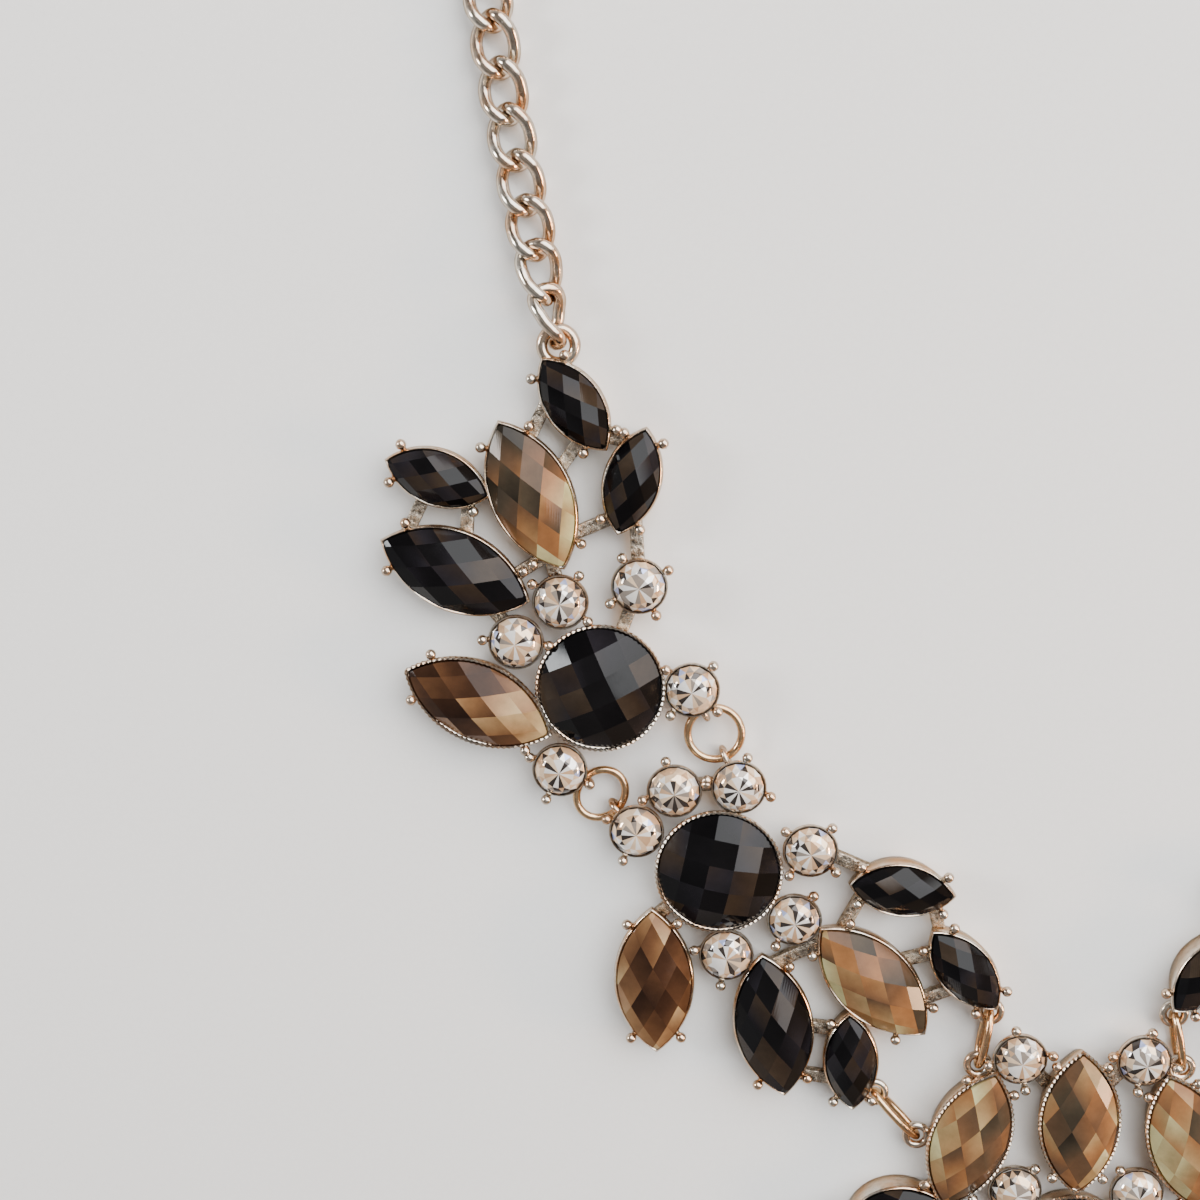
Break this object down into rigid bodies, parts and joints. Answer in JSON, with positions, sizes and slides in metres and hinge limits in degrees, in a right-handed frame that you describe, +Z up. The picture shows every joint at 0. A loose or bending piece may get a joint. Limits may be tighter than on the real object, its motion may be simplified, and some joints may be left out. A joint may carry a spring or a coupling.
{
  "type": "bib necklace",
  "caption": "Bib necklace lying flat: clusters of round and marquise stones in silver-toned cast frames, joined by jump rings on a curb chain.",
  "frame": {"origin": "on the surface that the necklace lies on, under the round stone of the centre cluster", "axes": "+Z up from the surface, +Y from the centre cluster towards the clasp, +X to the right seen from above"},
  "size_m": [0.1414, 0.2165, 0.0057],
  "materials": {
    "silver_metal": "polished cast metal, warm silver tone",
    "ring_metal": "polished wire, light copper tone",
    "jet_stone": "glossy faceted resin, black",
    "smoky_stone": "glossy faceted resin over foil, smoky champagne",
    "brown_stone": "glossy faceted resin over foil, brown"
  },
  "bodies": {
    "root": {"centre_frame": "silver_metal", "left_side_frame": "silver_metal", "right_side_frame": "silver_metal", "left_shoulder_frame": "silver_metal", "right_shoulder_frame": "silver_metal", "left_chain": "silver_metal", "right_chain": "silver_metal", "clasp": "silver_metal", "left_upper_round_ring": "ring_metal", "left_lower_round_ring": "ring_metal", "left_upper_oval_ring": "ring_metal", "left_lower_oval_ring": "ring_metal", "right_upper_round_ring": "ring_metal", "right_lower_round_ring": "ring_metal", "right_upper_oval_ring": "ring_metal", "right_lower_oval_ring": "ring_metal", "centre_round": "jet_stone", "centre_large_top": "smoky_stone", "centre_large_low": "jet_stone", "centre_left_large_1": "smoky_stone", "centre_right_large_1": "smoky_stone", "centre_left_large_2": "brown_stone", "centre_right_large_2": "brown_stone", "centre_left_large_3": "brown_stone", "centre_right_large_3": "brown_stone", "centre_left_small_1": "jet_stone", "centre_right_small_1": "jet_stone", "left_side_round": "jet_stone", "left_side_large_1": "brown_stone", "left_side_large_2": "jet_stone", "left_side_large_3": "smoky_stone", "left_side_small_1": "jet_stone", "left_side_small_2": "jet_stone", "left_side_small_3": "jet_stone", "right_side_round": "jet_stone", "right_side_large_1": "brown_stone", "right_side_large_2": "jet_stone", "right_side_large_3": "smoky_stone", "right_side_small_1": "jet_stone", "right_side_small_2": "jet_stone", "right_side_small_3": "jet_stone", "left_shoulder_round": "jet_stone", "left_shoulder_large_1": "smoky_stone", "left_shoulder_large_2": "jet_stone", "left_shoulder_large_3": "brown_stone", "left_shoulder_small_1": "jet_stone", "left_shoulder_small_2": "jet_stone", "left_shoulder_small_3": "jet_stone", "right_shoulder_round": "jet_stone", "right_shoulder_large_1": "smoky_stone", "right_shoulder_large_2": "jet_stone", "right_shoulder_large_3": "brown_stone", "right_shoulder_small_1": "jet_stone", "right_shoulder_small_2": "jet_stone", "right_shoulder_small_3": "jet_stone"}
  },
  "joints": []
}
